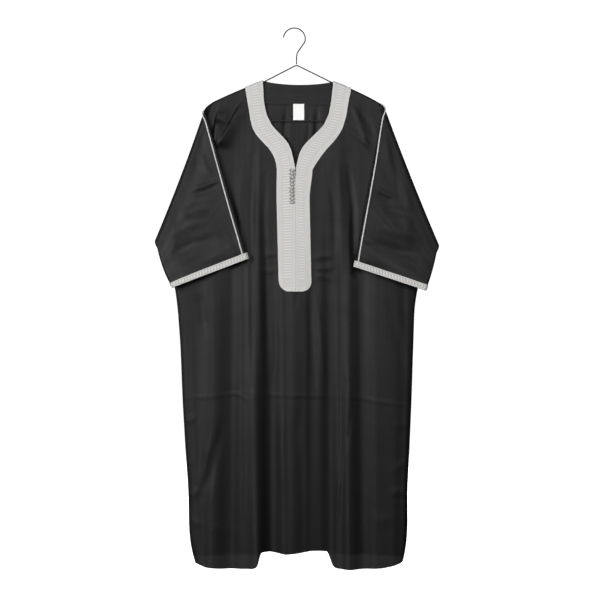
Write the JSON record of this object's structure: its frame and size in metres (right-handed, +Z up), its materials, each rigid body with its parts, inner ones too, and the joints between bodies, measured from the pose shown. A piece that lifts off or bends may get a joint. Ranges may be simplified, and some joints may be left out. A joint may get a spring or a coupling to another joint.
{
  "type": "gandoura robe on a wire hanger",
  "caption": "Long loose black satin robe with a V neck, a buttoned placket, grey braid and half sleeves folded forward, hung on a thin wire hanger.",
  "frame": {"origin": "the inside of the hook's crown, where a rail holds the hanger, in the plane of the wire", "axes": "+Z up, -Y out of the garment's front, +X towards the wearer's left"},
  "size_m": [0.7534, 0.0761, 1.4393],
  "materials": {
    "satin": "thin black satin with fine tonal stripes",
    "braid": "grey braided cord trim",
    "knot": "knotted grey cord",
    "label": "plain white woven tape, bare",
    "wire": "black coated steel wire"
  },
  "bodies": {
    "root": {"hanger_frame": "wire", "hanger_hook": "wire", "body_front": "satin", "body_back": "satin", "sleeve_right": "satin", "sleeve_left": "satin", "cuff_right": "braid", "cuff_left": "braid", "piping_right": "braid", "piping_left": "braid", "neck_band_right": "braid", "neck_band_left": "braid", "neck_band_back": "braid", "back_neck_facing": "satin", "label": "label", "knot_01": "knot", "knot_02": "knot", "knot_03": "knot", "knot_04": "knot", "knot_05": "knot", "knot_06": "knot", "knot_07": "knot", "knot_08": "knot", "knot_09": "knot", "knot_10": "knot"}
  },
  "joints": []
}
